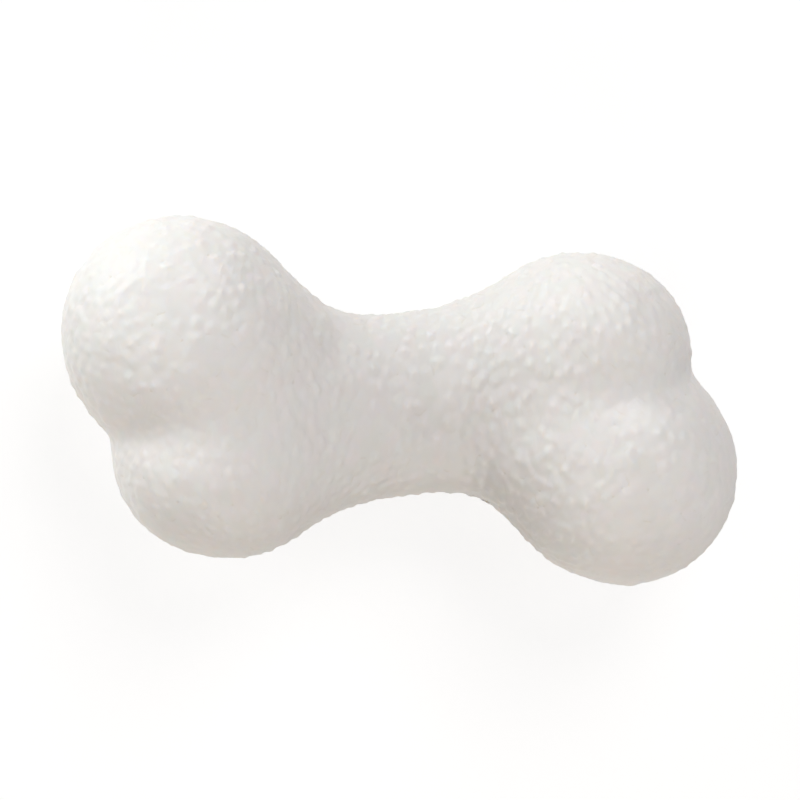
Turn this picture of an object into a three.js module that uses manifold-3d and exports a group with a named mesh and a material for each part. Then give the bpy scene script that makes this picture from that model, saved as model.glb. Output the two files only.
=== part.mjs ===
// A chew bone for dogs, moulded from expanded bead foam and lying flat.
//
// A bone this thick is steamed as two halves, split along its middle plane. Two pegs moulded on the
// lower half find two sockets in the upper one, and a thin film of glue holds the faces together.
// The form itself is a blend: a large and a small lobe at each end melt into a flatter shank, and
// into each other, so the whole skin is one smooth surface with a valley between each two lobes.
import * as THREE from 'three';
import { mergeVertices } from 'three/addons/utils/BufferGeometryUtils.js';
import Module from 'manifold-3d';

const wasm = await Module();
wasm.setup();

// Driving dimensions, in millimetres. X runs along the bone, Y across it and Z up, from the middle
// of the bone. Half a turn about Z brings the bone back onto itself, so every size serves both ends:
// one end has its large lobe on one side, and the other end has it on the other side.
const large_lobe_radius = 29;
const large_lobe_half_height = 29;
const large_lobe_along = 60.25;
const large_lobe_aside = 12.75;

const small_lobe_radius = 25.5;
const small_lobe_half_height = 26.5;
const small_lobe_along = 48.25;
const small_lobe_aside = 16.75;

// The shank runs between the small lobes. It is oval, and gets narrower and higher towards its ends.
const shank_along = 35.5;
const shank_aside = 19;
const shank_middle_radius = 20.75;
const shank_middle_half_height = 15;
const shank_end_radius = 15;
const shank_end_half_height = 18.25;

// How wide a fillet runs in the valley between two lobes, and where each kind meets the shank.
const valley_blend = 4;
const large_shoulder_blend = 62.25;
const small_shoulder_blend = 34.25;

// How deep the flats go that the bone rests on.
const rest_flat_depth = 0.5;

// The glue film keeps back from the skin, which leaves a fine groove round the bone.
const film_thickness = 0.4;
const film_setback = 1.2;

// The pegs are a loose fit in their sockets, with room for glue above them.
const peg_radius = 6;
const peg_height = 9;
const peg_along = 30;
const peg_chamfer = 1.5;
const peg_clearance = 0.3;
const peg_headroom = 1;

// How finely the skin is faceted.
const facets_round = 52;
const facets_along_shank = 22;
const facets_over_end = 14;
const facets_round_peg = 24;
const search_steps = 48;

// A cubic blend rounds a corner by a sixth of its width at the middle.
const cubic_blend_share = 1 / 6;

const ends = [-1, 1];

const large_lobes = ends.map((end) => ({
  x: end * large_lobe_along,
  y: -end * large_lobe_aside,
  radius: large_lobe_radius,
  half_height: large_lobe_half_height,
}));
const small_lobes = ends.map((end) => ({
  x: end * small_lobe_along,
  y: end * small_lobe_aside,
  radius: small_lobe_radius,
  half_height: small_lobe_half_height,
}));

// The shank's middle line, from one end to the other.
const shank_line = new THREE.Line3(
  new THREE.Vector3(-shank_along, -shank_aside, 0),
  new THREE.Vector3(shank_along, shank_aside, 0),
);

// How far a point lies outside a form that is round in plan and has a height of its own.
function outside(point, centre, radius, half_height) {
  const across = Math.hypot(point.x - centre.x, point.y - centre.y);
  const up = point.z * radius / half_height;
  return Math.hypot(across, up) - radius;
}

// Takes the nearer of two forms, with a fillet where they are about as near as each other.
function melt(one, other, blend) {
  const near = Math.max(blend - Math.abs(one - other), 0) / blend;
  return Math.min(one, other) - blend * near ** 3 * cubic_blend_share;
}

function outside_shank(point) {
  const in_plan = new THREE.Vector3(point.x, point.y, 0);
  const way_share = shank_line.closestPointToPointParameter(in_plan, true);
  const middle = shank_line.at(way_share, new THREE.Vector3());
  const end_share = THREE.MathUtils.smoothstep(Math.abs(2 * way_share - 1), 0, 1);
  const radius = THREE.MathUtils.lerp(shank_middle_radius, shank_end_radius, end_share);
  const half_height = THREE.MathUtils.lerp(
    shank_middle_half_height, shank_end_half_height, end_share,
  );
  return outside(point, middle, radius, half_height);
}

function outside_lobes(point, lobes) {
  return Math.min(...lobes.map((lobe) => outside(point, lobe, lobe.radius, lobe.half_height)));
}

// How far a point lies outside the whole bone; it is negative inside.
function outside_bone(point) {
  const shank = outside_shank(point);
  const large = melt(outside_lobes(point, large_lobes), shank, large_shoulder_blend);
  const small = melt(outside_lobes(point, small_lobes), shank, small_shoulder_blend);
  return melt(large, small, valley_blend);
}

// Walks from a point inside the bone to the place where it is a given depth under the skin.
function skin_point(start, direction, depth) {
  let near = 0;
  let far = large_lobe_along + large_lobe_aside + large_lobe_radius;
  const probe = new THREE.Vector3();
  for (let step = 0; step < search_steps; step += 1) {
    const middle = (near + far) / 2;
    probe.copy(start).addScaledVector(direction, middle);
    if (outside_bone(probe) < -depth) {
      near = middle;
    } else {
      far = middle;
    }
  }
  return probe.copy(start).addScaledVector(direction, near);
}

// Turns a closed geometry into a solid that can be cut and joined.
function solid_from(geometry) {
  const bare = geometry.clone();
  bare.deleteAttribute('normal');
  bare.deleteAttribute('uv');
  const merged = mergeVertices(bare);
  const corners = merged.index.array;
  const kept = [];
  for (let i = 0; i < corners.length; i += 3) {
    const [a, b, c] = corners.slice(i, i + 3);
    if (a !== b && b !== c && c !== a) {
      kept.push(a, b, c);
    }
  }
  return new wasm.Manifold(new wasm.Mesh({
    numProp: 3,
    vertProperties: new Float32Array(merged.attributes.position.array),
    triVerts: Uint32Array.from(kept),
  }));
}

function geometry_from(solid) {
  const mesh = solid.getMesh();
  const geometry = new THREE.BufferGeometry();
  geometry.setAttribute('position', new THREE.BufferAttribute(mesh.vertProperties, 3));
  geometry.setIndex(new THREE.BufferAttribute(mesh.triVerts, 1));
  geometry.computeVertexNormals();
  return geometry;
}

// The bone as one solid, or the same form a given depth under its skin. A capsule is laid along X
// inside the bone, and each of its points is moved straight out until it meets the skin. Turning
// the capsule by half a facet puts the middle plane between two rows of facets.
function bone_solid(depth) {
  const core = shank_along;
  const capsule = new THREE.CapsuleGeometry(
    shank_middle_radius, core * 2, facets_over_end, facets_round, facets_along_shank,
  );
  capsule.rotateZ(-Math.PI / 2);
  capsule.rotateX(Math.PI / facets_round);
  const points = capsule.attributes.position;
  const point = new THREE.Vector3();
  const foot = new THREE.Vector3();
  for (let i = 0; i < points.count; i += 1) {
    point.fromBufferAttribute(points, i);
    foot.set(THREE.MathUtils.clamp(point.x, -core, core), 0, 0);
    const direction = point.clone().sub(foot).normalize();
    const skin = skin_point(foot, direction, depth);
    points.setXYZ(i, skin.x, skin.y, skin.z);
  }
  return solid_from(capsule);
}

// A block that reaches past the bone on every side, from one height to another.
const overrun = shank_middle_radius;
const block_length = 2 * (large_lobe_along + large_lobe_radius + overrun);
const block_width = 2 * (large_lobe_aside + small_lobe_aside + large_lobe_radius + overrun);

function block(low, high) {
  const geometry = new THREE.BoxGeometry(block_length, block_width, high - low);
  geometry.translate(0, 0, (low + high) / 2);
  return solid_from(geometry);
}

// A round peg with a chamfer round its tip, at one end of the shank.
function peg(end, radius, low, high, chamfer) {
  const profile = [
    new THREE.Vector2(0, low),
    new THREE.Vector2(radius, low),
    new THREE.Vector2(radius, high - chamfer),
    new THREE.Vector2(radius - chamfer, high),
    new THREE.Vector2(0, high),
  ];
  const geometry = new THREE.LatheGeometry(profile, facets_round_peg);
  geometry.rotateX(Math.PI / 2);
  geometry.translate(end * peg_along, 0, 0);
  return solid_from(geometry);
}

// The bone rests on the lobes that reach lowest, and the flats are measured from there.
function depth_below(lobe) {
  const centre = new THREE.Vector3(lobe.x, lobe.y, 0);
  const down = new THREE.Vector3(0, 0, -1);
  return -skin_point(centre, down, 0).z;
}

const one_end = [large_lobes[0], small_lobes[0]];
const rest_level = rest_flat_depth - Math.max(...one_end.map(depth_below));
const top_level = large_lobe_half_height + small_lobe_half_height;
const face_level = film_thickness / 2;

function upper_half_solid() {
  let half = bone_solid(0).intersect(block(face_level, top_level));
  for (const end of ends) {
    const radius = peg_radius + peg_clearance;
    const top = face_level + peg_height + peg_headroom;
    half = half.subtract(peg(end, radius, -overrun, top, peg_chamfer));
  }
  return half;
}

function lower_half_solid() {
  let half = bone_solid(0).intersect(block(rest_level, -face_level));
  for (const end of ends) {
    const root = -face_level - peg_height;
    half = half.add(peg(end, peg_radius, root, face_level + peg_height, peg_chamfer));
  }
  return half;
}

function bond_film_solid() {
  let film = bone_solid(film_setback).intersect(block(-face_level, face_level));
  for (const end of ends) {
    const radius = peg_radius + peg_clearance;
    film = film.subtract(peg(end, radius, -overrun, overrun, peg_chamfer));
  }
  return film;
}

function piece(name, solid, finish) {
  const mesh = new THREE.Mesh(geometry_from(solid), new THREE.MeshStandardMaterial(finish));
  mesh.name = name;
  return mesh;
}

const foam_finish = { color: 0xece8e3, roughness: 0.55, metalness: 0 };
const glue_finish = { color: 0xe6ddc8, roughness: 0.35, metalness: 0 };

// The group lifts the bone so that its flats lie at height zero.
const bone = new THREE.Group();
bone.add(piece('upper_half', upper_half_solid(), foam_finish));
bone.add(piece('lower_half', lower_half_solid(), foam_finish));
bone.add(piece('bond_film', bond_film_solid(), glue_finish));
bone.position.z = -rest_level;

export default bone;
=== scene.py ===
# %% [markdown]
# # A chew bone for dogs, moulded from fused foam beads
#
# The bone is made of small beads of springy plastic that are blown up with gas, poured into a mould
# and fused with steam. Each bead swells until it meets its neighbours, so the skin is a mosaic of
# low domes with soft valleys between them. This lesson starts from the plain solids of the two
# moulded halves and gives them that skin.

import math

import bpy
import numpy as np
from mathutils import Matrix, Vector
from mathutils.kdtree import KDTree


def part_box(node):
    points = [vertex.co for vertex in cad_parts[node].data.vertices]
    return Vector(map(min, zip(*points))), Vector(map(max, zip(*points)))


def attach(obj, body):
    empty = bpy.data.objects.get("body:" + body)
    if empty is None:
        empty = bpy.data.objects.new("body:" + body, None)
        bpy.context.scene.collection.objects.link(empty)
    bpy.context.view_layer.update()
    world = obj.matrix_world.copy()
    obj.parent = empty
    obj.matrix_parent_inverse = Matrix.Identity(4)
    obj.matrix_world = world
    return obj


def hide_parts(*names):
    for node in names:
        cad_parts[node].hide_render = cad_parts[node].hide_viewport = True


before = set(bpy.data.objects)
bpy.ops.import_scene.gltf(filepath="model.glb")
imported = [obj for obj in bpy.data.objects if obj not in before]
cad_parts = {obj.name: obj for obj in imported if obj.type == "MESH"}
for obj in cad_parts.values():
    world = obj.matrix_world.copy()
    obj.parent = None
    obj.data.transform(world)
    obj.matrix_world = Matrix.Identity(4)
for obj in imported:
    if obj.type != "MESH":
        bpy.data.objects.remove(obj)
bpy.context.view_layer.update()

MM = 0.001
film_low, film_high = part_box("bond_film")
middle_height = (film_low.z + film_high.z) / 2

# %% [markdown]
# ## The camera
#
# The bone lies on a table and is seen from almost straight above, from about half a metre away.
# The camera leans a little towards the left end, which makes that end look slightly larger. Its
# place is worked out from the angle it leans, and its lens from how many millimetres of the bone
# one pixel of the picture shows.

# %% Camera
camera_distance = 500 * MM
camera_lean = math.radians(9.2)
camera_bearing = math.radians(158.7)
camera_roll = math.radians(6.0)
mm_per_pixel = 0.2593
picture_pixels = 800
bone_right_pixels = 5.4
bone_up_pixels = -3.4
sensor_width_mm = 36


def camera_axes():
    """The picture's right, up and back directions, in the bone's own axes."""
    right = Vector((math.cos(camera_roll), math.sin(camera_roll), 0))
    up = Vector((-math.sin(camera_roll), math.cos(camera_roll), 0))
    back = Vector((0, 0, 1))
    towards = math.cos(camera_bearing) * right + math.sin(camera_bearing) * up
    lean = Matrix.Rotation(camera_lean, 3, back.cross(towards))
    return lean @ right, lean @ up, lean @ back


def add_camera():
    right, up, back = camera_axes()
    middle = Vector((0, 0, middle_height))
    aside = bone_right_pixels * right + bone_up_pixels * up
    data = bpy.data.cameras.new("camera")
    data.sensor_width = sensor_width_mm
    pixel = mm_per_pixel * MM / camera_distance
    data.lens = sensor_width_mm / (picture_pixels * pixel)
    camera = bpy.data.objects.new("camera", data)
    bpy.context.collection.objects.link(camera)
    axes = Matrix((right, up, back)).transposed()
    place = middle + back * camera_distance - aside * mm_per_pixel * MM
    camera.matrix_world = Matrix.Translation(place) @ axes.to_4x4()
    bpy.context.scene.camera = camera
    print("lens", round(data.lens, 2), "mm")


add_camera()

# %% [markdown]
# ## The form under the beads
#
# The solids are made of flat facets, which would show as flat patches in soft light. The form they
# were cut from is known, though: a large and a small lobe at each end melt into a flatter shank,
# and into each other. Written as a formula that says how far a point lies outside the bone, it
# lets every point of a fine mesh be moved onto the true, smooth skin.

# %% Round forms, and how they melt together
def outside_round(points, x, y, radius, half_height):
    """How far points lie outside a ball that is stretched or flattened along Z."""
    across = np.hypot(points[:, 0] - x, points[:, 1] - y)
    return np.hypot(across, points[:, 2] * radius / half_height) - radius


def melt(one, other, blend):
    """The smaller of two distances, less a smooth cubic bulge where the two are nearly the same."""
    near = np.maximum(blend - np.abs(one - other), 0) / blend
    return np.minimum(one, other) - blend * near**3 / 6


def ease(share):
    """A share from 0 to 1 that starts and ends gently."""
    return share**2 * (3 - 2 * np.abs(share))


# %% The shank
shank_tip_mm = np.array((35.5, 19))
shank_radius_mm = {"middle": 20.75, "end": 15}
shank_half_height_mm = {"middle": 15, "end": 18.25}


def outside_shank(points):
    share = np.clip(points[:, :2] @ shank_tip_mm / (shank_tip_mm @ shank_tip_mm), -1, 1)
    middle = share[:, None] * shank_tip_mm
    end_share = ease(share)
    radius = shank_radius_mm["middle"] * (1 - end_share) + shank_radius_mm["end"] * end_share
    half_height = (
        shank_half_height_mm["middle"] * (1 - end_share) + shank_half_height_mm["end"] * end_share
    )
    return outside_round(points, middle[:, 0], middle[:, 1], radius, half_height)


# %% The lobes, and the whole bone
large_lobe_mm = {
    "along": 60.25,
    "aside": -12.75,
    "radius": 29,
    "half_height": 29,
    "shoulder": 62.25,
}
small_lobe_mm = {
    "along": 48.25,
    "aside": 16.75,
    "radius": 25.5,
    "half_height": 26.5,
    "shoulder": 34.25,
}
valley_blend_mm = 4


def outside_lobes(points, size):
    """The two lobes of one size, which lie half a turn round the bone from each other."""
    lobes = [
        outside_round(
            points, end * size["along"], end * size["aside"], size["radius"], size["half_height"]
        )
        for end in (-1, 1)
    ]
    return np.minimum(*lobes)


def outside_bone(points):
    """How far points lie outside the bone, in millimetres from the bone's middle."""
    shank = outside_shank(points)
    melted = [
        melt(outside_lobes(points, size), shank, size["shoulder"])
        for size in (large_lobe_mm, small_lobe_mm)
    ]
    return melt(*melted, valley_blend_mm)


# %% Points on the skin
probe_mm = 0.02


def skin_normals(points):
    """The direction straight out of the bone at each point, and how fast the distance grows."""
    slope = np.empty_like(points)
    for axis in range(3):
        step = np.zeros(3)
        step[axis] = probe_mm
        slope[:, axis] = outside_bone(points + step) - outside_bone(points - step)
    slope /= 2 * probe_mm
    steepness = np.linalg.norm(slope, axis=1)
    return slope / steepness[:, None], steepness


def onto_skin(points, passes=3):
    for _ in range(passes):
        normals, steepness = skin_normals(points)
        points = points - normals * (outside_bone(points) / steepness)[:, None]
    return points


def coordinates_mm(obj):
    flat = np.empty(len(obj.data.vertices) * 3)
    obj.data.vertices.foreach_get("co", flat)
    points = flat.reshape(-1, 3) / MM
    points[:, 2] -= middle_height / MM
    return points


def set_coordinates_mm(obj, points):
    placed = points.copy()
    placed[:, 2] += middle_height / MM
    obj.data.vertices.foreach_set("co", (placed * MM).ravel())
    obj.data.update()


corners = coordinates_mm(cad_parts["upper_half"])
print("half of the facet corners lie within", np.median(np.abs(outside_bone(corners))), "mm")

# %% [markdown]
# ## A fine mesh of each half
#
# A copy of each solid is remeshed into even squares, small enough to hold the valleys between
# the beads. The points of its curved skin are then moved onto the formula, while the flat face
# with its pegs or sockets, and the flats that the bone rests on, stay as they are. Subdividing
# the solid would give as many points, but bunched where its triangles are small, and a remesh
# spreads them evenly.

# %% Fine halves
grid_mm = 0.3
weld_mm = 0.001


def only(obj):
    bpy.ops.object.select_all(action="DESELECT")
    obj.select_set(True)
    bpy.context.view_layer.objects.active = obj


def fine_copy(node, name):
    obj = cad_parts[node].copy()
    obj.data = obj.data.copy()
    obj.name = name
    obj.data.name = name
    obj.data.materials.clear()
    for key in list(obj.keys()):
        del obj[key]
    bpy.context.collection.objects.link(obj)
    only(obj)
    bpy.ops.object.mode_set(mode="EDIT")
    bpy.ops.mesh.select_all(action="SELECT")
    bpy.ops.mesh.remove_doubles(threshold=weld_mm * MM)
    bpy.ops.object.mode_set(mode="OBJECT")
    obj.data.remesh_voxel_size = grid_mm * MM
    obj.data.remesh_voxel_adaptivity = 0
    bpy.ops.object.voxel_remesh()
    print(name, "has", len(obj.data.vertices), "points")
    return obj


halves = {
    "upper_half": fine_copy("upper_half", "upper_skin"),
    "lower_half": fine_copy("lower_half", "lower_skin"),
}

# %% Skin and flats
skin_reach_mm = 0.45
flat_reach_mm = 0.12


def areas_of(points):
    """Which points belong to the curved skin, and which to the flats that lie on the table."""
    on_skin = np.abs(outside_bone(points)) < skin_reach_mm
    on_table = points[:, 2] < -middle_height / MM + flat_reach_mm
    return on_skin & ~on_table, on_table


for obj in halves.values():
    points = coordinates_mm(obj)
    skin, table = areas_of(points)
    points[skin] = onto_skin(points[skin])
    points[table, 2] = -middle_height / MM
    set_coordinates_mm(obj, points)
    print(obj.name, "skin", int(skin.sum()), "on the table", int(table.sum()))

# %% [markdown]
# ## Where the beads lie
#
# In the mould each bead swells until it is pressed flat against the wall and its neighbours, so it
# shows as a cell with five or six sides. Points scattered over the skin, each moved a few times to
# the middle of the skin that lies nearest to it, divide it into cells of just that kind. On the
# shank the cells are longer across the bone than along it. To get such cells, the places are
# squeezed across the bone while the points are scattered and moved.

# %% Squeezed places
bead_stretch = 0.35
stretch_reach_mm = 45
# The power of a bell curve with a flat top.
flat_top = 4


def squeeze_at(points):
    """How far the shank is squeezed in Y; round cells there stand for real cells long in Y."""
    return 1 - bead_stretch * np.exp(-(points[:, 0] / stretch_reach_mm) ** flat_top)


def squeezed(points):
    moved = points.copy()
    moved[:, 1] *= squeeze_at(points)
    return moved


# %% Bead centres
bead_spacing_mm = 3.4
hexagon_share = math.sqrt(3) / 2
# A voxel mesh has about this many points for each square of its grid, over all slopes.
points_per_square = 1.5
relaxing_passes = 6
samples_per_bead = 25
rng = np.random.default_rng(11)


def nearest_beads(centres, points, count):
    """The nearest bead centres to each point, as their numbers and their distances."""
    tree = KDTree(len(centres))
    for number, centre in enumerate(centres):
        tree.insert(centre, number)
    tree.balance()
    hits = [hit[1:] for point in points for hit in tree.find_n(point, count)]
    table = np.array(hits).reshape(len(points), count, 2)
    return table[:, :, 0].astype(int), table[:, :, 1]


def bead_centres(points):
    skin_area = len(points) * grid_mm**2 / points_per_square
    count = int(skin_area / (hexagon_share * bead_spacing_mm**2))
    centres = squeezed(points[rng.choice(len(points), count, replace=False)])
    sample = squeezed(points[rng.choice(len(points), samples_per_bead * count)])
    for _ in range(relaxing_passes):
        owner = nearest_beads(centres, sample, 1)[0][:, 0]
        owned = np.bincount(owner, minlength=count)
        sums = [np.bincount(owner, weights=axis, minlength=count) for axis in sample.T]
        middles = np.transpose(sums) / np.maximum(owned, 1)[:, None]
        centres = np.where(owned[:, None] > 0, middles, centres)
    return centres


# %% [markdown]
# ## The relief of the beads
#
# Each bead is a low dome that runs softly into its neighbours, and a little higher or lower than
# the next. Bell curves round the nearest bead centres, added up, give that, where domes cut off at
# their borders would leave sharp folds. Most borders are fused tight, but a few stay open as a
# short crack, and where three beads meet there may be a tiny pit. The steep sides also carry fine
# creases, from the foam being pulled out of its mould, and the whole skin waves a little.

# %% Waves and edges
waves_added = 6
shortest_share = 0.7
longest_share = 1.4


def waves(points, spacing):
    """A smooth random height over the points, about 1 high, from waves in random directions."""
    ways = rng.normal(size=(waves_added, 3))
    shares = rng.uniform(shortest_share, longest_share, waves_added)
    ways *= (2 * math.pi / spacing / np.linalg.norm(ways, axis=1) * shares)[:, None]
    phases = rng.uniform(0, 2 * math.pi, waves_added)
    return np.sin(points @ ways.T + phases).sum(axis=1) * math.sqrt(2 / waves_added)


def towards(edge, reach):
    """1 at the edge, and 0 from the reach on, with a round foot."""
    return (1 - np.clip(edge / reach, 0, 1)) ** 2


# %% Domes
beads_around = 5
bead_radius_mm = 0.98
dome_height_mm = 0.24
bead_height_mm = 0.085


def domes_over(centres, places, squeeze):
    """The height of the domes, the beads round each point, their shares in it and distances."""
    numbers, distances = nearest_beads(centres, places, beads_around)
    squares = distances**2
    share = np.exp(-squares / (2 * bead_radius_mm**2 * squeeze)[:, None])
    heights = rng.normal(dome_height_mm, bead_height_mm, len(centres))
    domes = (share * heights[numbers]).sum(axis=1) / squeeze
    return domes, numbers, share, squares


# %% Cracks and pits
wander_spacing_mm = 4
crack_reach_mm = 0.4
crack_rarity = 9
pit_radius_mm = 0.3
pit_share = 0.012


def gaps_between(points, centres, numbers, squares):
    """How open the skin is at each point: along the borders, and where three beads meet."""
    own, second, third = numbers[:, :3].T
    to_second = np.linalg.norm(centres[own] - centres[second], axis=1)
    to_third = np.linalg.norm(centres[own] - centres[third], axis=1)
    edge = (squares[:, 1] - squares[:, 0]) / (2 * to_second)
    corner = (squares[:, 2] - squares[:, 0]) / (2 * to_third)
    pair_openness = rng.uniform(0, 1, 2 * len(centres)) ** crack_rarity
    open_stretches = np.clip((1 + waves(points, wander_spacing_mm)) / 2, 0, 1)
    crack = pair_openness[own + second] * open_stretches * towards(edge, crack_reach_mm)
    pitted = rng.uniform(0, 1, 3 * len(centres)) < pit_share
    pit = pitted[own + second + third] * np.exp(-(edge**2 + corner**2) / pit_radius_mm**2)
    return crack, pit


# %% Creases
crease_spacing_mm = 1.2
crease_spread = math.radians(20)


def creases_at(points, from_centre, own, count):
    """Fine waves across each bead, each bead with its own direction and strength."""
    angles = rng.normal(0, crease_spread, count)
    creased = rng.uniform(0, 1, count) ** 2
    across = from_centre[:, 0] * np.cos(angles)[own] + from_centre[:, 1] * np.sin(angles)[own]
    bend = waves(points, wander_spacing_mm)
    return np.sin(2 * math.pi * across / crease_spacing_mm + bend) * creased[own]


# %% All of the relief
wander_mm = 0.12
crease_height_mm = 0.055
crack_depth_mm = 0.08
pit_depth_mm = 0.15
uneven_waves_mm = {6: 0.02, 12: 0.06, 28: 0.12}


def bead_relief(points, centres, steepness):
    """The height of the relief at each point, in millimetres, and what the finish needs to know."""
    count = len(centres)
    wander = np.transpose([waves(points, wander_spacing_mm) for _ in range(3)]) * wander_mm
    places = squeezed(points + wander)
    domes, numbers, share, squares = domes_over(centres, places, squeeze_at(points))
    crack, pit = gaps_between(points, centres, numbers, squares)
    own = numbers[:, 0]
    crease = creases_at(points, places - centres[own], own, count) * steepness
    height = domes + share[:, 0] * crease_height_mm * crease
    height -= crack_depth_mm * crack + pit_depth_mm * pit
    for spacing, size in uneven_waves_mm.items():
        height += size * waves(points, spacing)
    blend = share / share.sum(axis=1)[:, None]
    finish = {
        "bead_tone": (blend * rng.uniform(0, 1, count)[numbers]).sum(axis=1),
        "bead_tint": (blend * rng.uniform(0, 1, count)[numbers]).sum(axis=1),
        # Where the cracks and pits lie, which the foam paints with shade.
        "groove": np.clip(crack + pit, 0, 1),
    }
    return height, finish


# %% [markdown]
# ## The foot of each lobe
#
# On its upper and lower faces the real bone is a little hollower than the plain solids, at the
# foot of each lobe and in the valley between two lobes, which shows in how the light falls on it.
# The skin is pressed in there, most where it faces straight up or down and not at all at the
# sides, so the outline seen from above stays.

# %% Hollows
foot_depth_mm = 2.0
foot_start_mm = -6
foot_reach_mm = 12
valley_depth_mm = 1.6
valley_reach_mm = 5
valley_end_mm = 18


def hollows(points):
    """How deep the foot of each lobe and the valley between two lobes are pressed in."""
    shank = outside_shank(points)
    large = outside_lobes(points, large_lobe_mm)
    small = outside_lobes(points, small_lobe_mm)
    past_lobe = np.minimum(large, small) - shank
    foot = foot_depth_mm * ease(np.clip((past_lobe - foot_start_mm) / foot_reach_mm, 0, 1))
    large = melt(large, shank, large_lobe_mm["shoulder"])
    small = melt(small, shank, small_lobe_mm["shoulder"])
    beside_lobes = np.clip(1 - past_lobe / valley_end_mm, 0, 1)
    return foot + valley_depth_mm * beside_lobes * np.exp(-((large - small) / valley_reach_mm) ** 2)


# %% [markdown]
# ## The beads pressed into the skin
#
# The relief moves each point straight out of the bone or into it. The domes stand as far out of
# the smooth form as the valleys go into it, so the bone keeps its size. The relief fades out round
# the flats that the bone rests on, and the rim of each half is rounded at the seam. On the flat
# face of a half the points under the skin only move sideways, less with their depth, so the face
# stays flat.

# %% Pressing
level_mm = 0.17
rim_round_mm = 0.35
rim_reach_mm = 0.7
table_fade_mm = 0.8
depth_reach_mm = 2
waist_reach_mm = 40
# Where the skin faces straight up or down, its sideways part is too short to divide by.
shortest_sideways = 0.1


def ways_out(points, on_skin):
    """The direction out of the bone, level for the points that aren't on the curved skin."""
    normals, _ = skin_normals(points)
    steepness = np.hypot(normals[:, 0], normals[:, 1])
    facing_up = normals[:, 2] ** 2
    flat = ~on_skin
    normals[flat, 2] = 0
    lengths = np.linalg.norm(normals[flat], axis=1)
    normals[flat] /= np.maximum(lengths, shortest_sideways)[:, None]
    return normals, steepness, facing_up


def add_attribute(obj, name, values):
    layer = obj.data.attributes.new(name, "FLOAT", "POINT")
    layer.data.foreach_set("value", values.astype(np.float32))


def press_beads(obj):
    points = coordinates_mm(obj)
    skin, table = areas_of(points)
    centres = bead_centres(points[skin])
    under = -outside_bone(points)
    near = (under < depth_reach_mm) & ~table
    normals, steepness, facing_up = ways_out(points[near], skin[near])
    height, finish = bead_relief(points[near], centres, steepness)
    seam = np.abs(points[near, 2])
    inwards = level_mm - height + rim_round_mm * towards(seam, rim_reach_mm)
    inwards += hollows(points[near]) * facing_up
    over_table = points[near, 2] + middle_height / MM
    inwards *= 1 - towards(over_table, table_fade_mm)
    inwards *= 1 - np.clip(under[near] / depth_reach_mm, 0, 1)
    points[near] -= normals * inwards[:, None]
    points[:, 2] = np.maximum(points[:, 2], -middle_height / MM)
    set_coordinates_mm(obj, points)
    for name, values in finish.items():
        whole = np.zeros(len(points))
        whole[near] = values
        add_attribute(obj, name, whole)
    # The waist mask, which the foam uses for painted shade.
    add_attribute(obj, "waist", np.exp(-(points[:, 0] / waist_reach_mm) ** flat_top))
    deepest = round(float(inwards.max()), 2)
    print(obj.name, "has", len(centres), "beads, and its skin goes in by up to", deepest, "mm")


for obj in halves.values():
    press_beads(obj)

# %% [markdown]
# ## The foam
#
# Expanded polyurethane beads, steamed in a polished mould and left unpainted. The thin closed
# skin is satin, and behind it lies a mass of tiny bubbles, so light goes a few millimetres in and
# comes out again: the white looks milky, and the edges of the relief stay soft. Subsurface light
# gives that, where a plain diffuse white would look like plaster. Each bead foamed a little
# differently, so its white is a touch duller or brighter, pinker or greener than the next. The
# waist is painted a little darker, as painted shade where the lobes keep light from it, and the
# cracks and pits a creamier grey, as painted shade in those hollows.

# %% Material helpers
def linear(hex_colour):
    """An sRGB colour such as f4f2ee, as the linear values that a shader takes."""
    shares = [int(hex_colour[i : i + 2], 16) / 255 for i in (0, 2, 4)]
    return [s / 12.92 if s <= 0.04045 else ((s + 0.055) / 1.055) ** 2.4 for s in shares] + [1]


def node(tree, kind, settings=None, sources=(), **links):
    """Adds one shader node, sets its values, and links its sockets in their order or by name."""
    made = tree.nodes.new(kind)
    for name, value in (settings or {}).items():
        if hasattr(made, name):
            setattr(made, name, value)
        else:
            made.inputs[name].default_value = value
    for number, source in enumerate(sources):
        tree.links.new(source, made.inputs[number])
    for name, source in links.items():
        tree.links.new(source, made.inputs[name.replace("_", " ")])
    return made


def new_material(name):
    material = bpy.data.materials.new(name)
    material.use_nodes = True
    material.node_tree.nodes.clear()
    return material, material.node_tree


# %% Colour of the foam
bead_whites = {"dull": "f3f1ef", "bright": "f7f5f4"}
bead_tints = {"pink": "fffdfe", "green": "fdfffe"}
# Painted shade: the cracks and pits are painted a darker cream, as shade in those hollows.
crack_painted_shade = "eae6e0"
# Painted shade: the waist is painted darker, where the lobes keep light from it.
waist_painted_shade = "f3f3f3"


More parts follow.
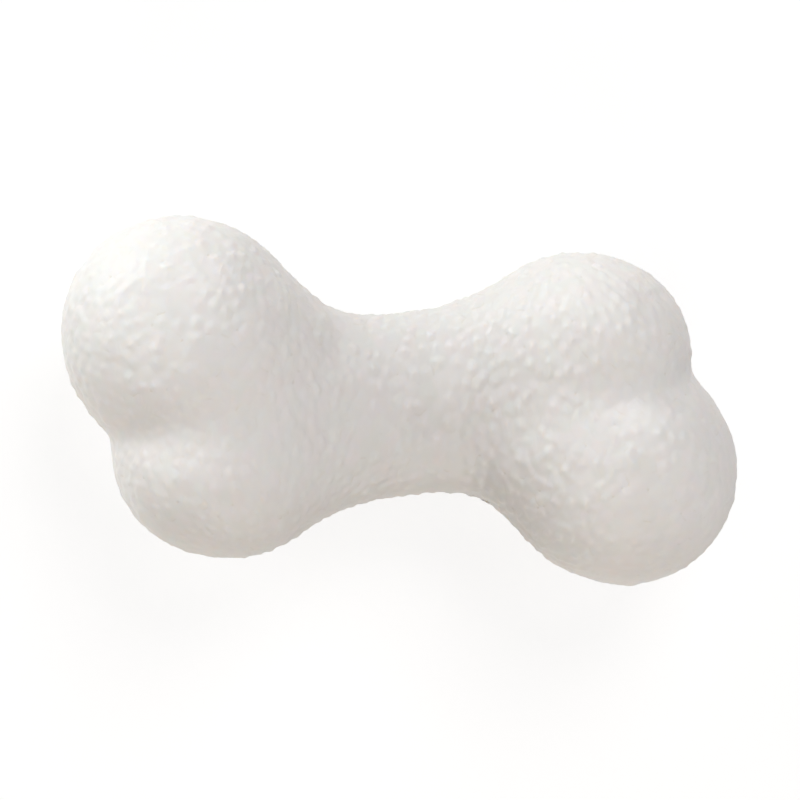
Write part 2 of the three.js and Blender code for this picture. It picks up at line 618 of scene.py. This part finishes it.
def foam_colour(tree, tone):
    """A tinted white for each bead, with painted shade in the cracks and pits and at the waist."""
    tint = node(tree, "ShaderNodeAttribute", {"attribute_name": "bead_tint"})
    groove = node(tree, "ShaderNodeAttribute", {"attribute_name": "groove"})
    waist = node(tree, "ShaderNodeAttribute", {"attribute_name": "waist"})
    white = node(tree, "ShaderNodeMixRGB", {
        "Color1": linear(bead_whites["dull"]),
        "Color2": linear(bead_whites["bright"]),
    }, Fac=tone)
    cast = node(tree, "ShaderNodeMixRGB", {
        "Color1": linear(bead_tints["pink"]),
        "Color2": linear(bead_tints["green"]),
    }, Fac=tint.outputs["Fac"])
    tinted = node(tree, "ShaderNodeMixRGB", {
        "blend_type": "MULTIPLY",
        "Fac": 1,
    }, Color1=white.outputs[0], Color2=cast.outputs[0])
    # Painted shade in the cracks and pits.
    grooved = node(tree, "ShaderNodeMixRGB", {
        "Color2": linear(crack_painted_shade),
    }, Color1=tinted.outputs[0], Fac=groove.outputs["Fac"])
    # Painted shade at the waist.
    darkened = node(tree, "ShaderNodeMixRGB", {
        "blend_type": "MULTIPLY",
        "Color2": linear(waist_painted_shade),
    }, Color1=grooved.outputs[0], Fac=waist.outputs["Fac"])
    return darkened.outputs[0]


# %% Foam
foam_ior = 1.49
foam_roughness = {"smooth": 0.42, "rough": 0.56}
light_depth_mm = 1.5
# Red light goes deepest into white foam, blue light least deep.
light_depth_shares = (1.0, 0.9, 0.8)
# The bubbles under the skin are about 0.1 mm wide, too fine to show, so they are drawn coarser.
grain_mm = 0.5
grain_height_mm = 0.004


def foam_material():
    material, tree = new_material("expanded polyurethane bead foam, moulded")
    tone = node(tree, "ShaderNodeAttribute", {"attribute_name": "bead_tone"})
    colour = foam_colour(tree, tone.outputs["Fac"])
    gloss = node(tree, "ShaderNodeMapRange", {
        "To Min": foam_roughness["smooth"],
        "To Max": foam_roughness["rough"],
    }, Value=tone.outputs["Fac"])
    place = node(tree, "ShaderNodeTexCoord")
    grain = node(tree, "ShaderNodeTexNoise", {
        "Scale": 1 / (grain_mm * MM),
        "Detail": 2,
    }, Vector=place.outputs["Object"])
    bump = node(tree, "ShaderNodeBump", {
        "Strength": 1,
        "Distance": grain_height_mm * MM,
    }, Height=grain.outputs[0])
    skin = node(tree, "ShaderNodeBsdfPrincipled", {
        "IOR": foam_ior,
        "Subsurface Weight": 1,
        "Subsurface Radius": light_depth_shares,
        "Subsurface Scale": light_depth_mm * MM,
    }, Base_Color=colour, Roughness=gloss.outputs[0], Normal=bump.outputs[0])
    node(tree, "ShaderNodeOutputMaterial", Surface=skin.outputs[0])
    print(material.name, "has", len(tree.nodes), "nodes")
    return material


foam = foam_material()
for name, obj in halves.items():
    only(obj)
    bpy.ops.object.shade_smooth()
    obj.data.materials.append(foam)
    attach(obj, "root")
    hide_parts(name)

# %% [markdown]
# ## The glue
#
# The film between the halves is set back from the skin, and all that shows of it is the bottom of
# a fine groove round the bone. Dried contact glue is clear, slightly yellow and a little glossier
# than the foam. Such a film is plain and flat, so its solid is kept and only gets this finish.

# %% Glue
glue_yellows = {"pale": "e6ddc8", "deep": "d8ccb0"}
glue_ior = 1.48
glue_roughness = {"smooth": 0.3, "rough": 0.5}
smear_mm = 6


def glue_material():
    material, tree = new_material("contact glue, dried")
    place = node(tree, "ShaderNodeTexCoord")
    smears = node(tree, "ShaderNodeTexNoise", {
        "Scale": 1 / (smear_mm * MM),
        "Detail": 3,
    }, Vector=place.outputs["Object"])
    colour = node(tree, "ShaderNodeMixRGB", {
        "Color1": linear(glue_yellows["pale"]),
        "Color2": linear(glue_yellows["deep"]),
    }, Fac=smears.outputs[0])
    gloss = node(tree, "ShaderNodeMapRange", {
        "To Min": glue_roughness["smooth"],
        "To Max": glue_roughness["rough"],
    }, Value=smears.outputs[0])
    surface = node(tree, "ShaderNodeBsdfPrincipled", {
        "IOR": glue_ior,
    }, Base_Color=colour.outputs[0], Roughness=gloss.outputs[0])
    node(tree, "ShaderNodeOutputMaterial", Surface=surface.outputs[0])
    print(material.name, "has", len(tree.nodes), "nodes")
    return material


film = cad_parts["bond_film"]
film.data.materials.clear()
film.data.materials.append(glue_material())

# %% [markdown]
# ## The floor
#
# A large pale plane. Light that bounces off it reaches the sides of the bone, so for such light
# it is a plain diffuse white. What the camera sees of it, directly or in a glossy surface, is a
# darker grey with a glow on top that together come to the pure white of a catalogue picture, and
# the bone's soft shadow stays on it as a pale grey. Far from the bone, where no lamp shines on the
# floor, the glow alone is white. Seen from below the floor is clear, so that the underside of the
# bone can be looked at.

# %% What the camera sees
def seen_by_camera(tree):
    """1 for light that the camera sees directly, in a gloss or through glass, and 0 otherwise."""
    path = node(tree, "ShaderNodeLightPath")
    either = node(tree, "ShaderNodeMath", {"operation": "MAXIMUM"}, (
        path.outputs["Is Camera Ray"],
        path.outputs["Is Glossy Ray"],
    ))
    any_of_three = node(tree, "ShaderNodeMath", {"operation": "MAXIMUM"}, (
        either.outputs[0],
        path.outputs["Is Transmission Ray"],
    ))
    return any_of_three.outputs[0]


# %% Glow of the floor
near_glow = 0.78
far_glow = 1
near_reach = 0.5
far_reach = 1.2


def floor_glow(tree):
    """A glow that grows to full white beyond the light of the lamps."""
    place = node(tree, "ShaderNodeTexCoord")
    distance = node(tree, "ShaderNodeVectorMath", {
        "operation": "LENGTH",
    }, (place.outputs["Object"],))
    strength = node(tree, "ShaderNodeMapRange", {
        "From Min": near_reach,
        "From Max": far_reach,
        "To Min": near_glow,
        "To Max": far_glow,
    }, Value=distance.outputs["Value"])
    return node(tree, "ShaderNodeEmission", Strength=strength.outputs[0])


# %% Floor
floor_white = "f0ece6"
shadow_grey = "9a9a9a"
floor_half_size = 30
# The floor lies a hair below the flats of the bone, so that the two don't flicker.
floor_gap_mm = 0.05


def floor_material():
    material, tree = new_material("pale floor")
    plain = node(tree, "ShaderNodeBsdfDiffuse", {"Color": linear(floor_white)})
    shaded = node(tree, "ShaderNodeBsdfDiffuse", {"Color": linear(shadow_grey)})
    glow = floor_glow(tree)
    seen = node(tree, "ShaderNodeAddShader", sources=(shaded.outputs[0], glow.outputs[0]))
    above = node(tree, "ShaderNodeMixShader", sources=(
        seen_by_camera(tree),
        plain.outputs[0],
        seen.outputs[0],
    ))
    clear = node(tree, "ShaderNodeBsdfTransparent")
    side = node(tree, "ShaderNodeNewGeometry")
    both = node(tree, "ShaderNodeMixShader", sources=(
        side.outputs["Backfacing"],
        above.outputs[0],
        clear.outputs[0],
    ))
    node(tree, "ShaderNodeOutputMaterial", Surface=both.outputs[0])
    return material


floor_place = (0, 0, -floor_gap_mm * MM)
bpy.ops.mesh.primitive_plane_add(size=2 * floor_half_size, location=floor_place)
floor = bpy.context.object
floor.name = "floor"
floor.data.materials.append(floor_material())
print("the floor is", round(floor.dimensions.x), "m wide")

# %% [markdown]
# ## The light
#
# Plain studio light from six soft lamps. Two low lamps stand at the upper left of the picture and
# make that side of each lobe the brightest. Four more fill from the top, the right, the bottom
# and overhead, those from the bottom and overhead a little warm. Their strengths were matched to
# the picture by rendering the bone under one lamp at a time. The room round them is dark for the
# light that falls on the bone, and white where the camera looks past the floor.

# %% Lamps
lamp_distance = 1.3
lamp_width = 0.7


def add_lamp(name, azimuth, elevation, watts, colour, height=lamp_width):
    """A soft lamp that points at the bone; azimuth turns from the picture's right to its top."""
    right, up, back = camera_axes()
    a, e = math.radians(azimuth), math.radians(elevation)
    way = math.cos(e) * (math.cos(a) * right + math.sin(a) * up) + math.sin(e) * back
    data = bpy.data.lights.new(name, "AREA")
    data.shape = "RECTANGLE"
    data.size = lamp_width
    data.size_y = height
    data.energy = watts
    data.color = linear(colour)[:3]
    lamp = bpy.data.objects.new(name, data)
    bpy.context.collection.objects.link(lamp)
    lamp.location = Vector((0, 0, middle_height)) + way * lamp_distance
    lamp.rotation_mode = "QUATERNION"
    lamp.rotation_quaternion = way.to_track_quat("Z", "Y")
    print(name, "lamp,", watts, "W")


add_lamp("key", azimuth=135, elevation=9.6, watts=12.0, colour="f9ffff", height=0.44)
add_lamp("left_key", azimuth=160, elevation=12.5, watts=4.9, colour="fffefb", height=0.57)
add_lamp("top_fill", azimuth=60, elevation=45, watts=7.75, colour="fffdfb")
add_lamp("right_fill", azimuth=0, elevation=45, watts=2.3, colour="fffbfd")
add_lamp("bottom_fill", azimuth=270, elevation=20, watts=6.4, colour="fff7ed")
add_lamp("overhead", azimuth=210, elevation=75, watts=2.45, colour="fffaf5")

# %% Room
room_light = 0.02


def add_room():
    world = bpy.data.worlds.new("room")
    bpy.context.scene.world = world
    world.use_nodes = True
    tree = world.node_tree
    tree.nodes.clear()
    strength = node(tree, "ShaderNodeMapRange", {
        "To Min": room_light,
        "To Max": 1,
    }, Value=seen_by_camera(tree))
    background = node(tree, "ShaderNodeBackground", Strength=strength.outputs[0])
    background.inputs["Color"].default_value = linear("ffffff")
    node(tree, "ShaderNodeOutputWorld", Surface=background.outputs[0])


add_room()
bpy.context.scene.view_settings.view_transform = "Standard"
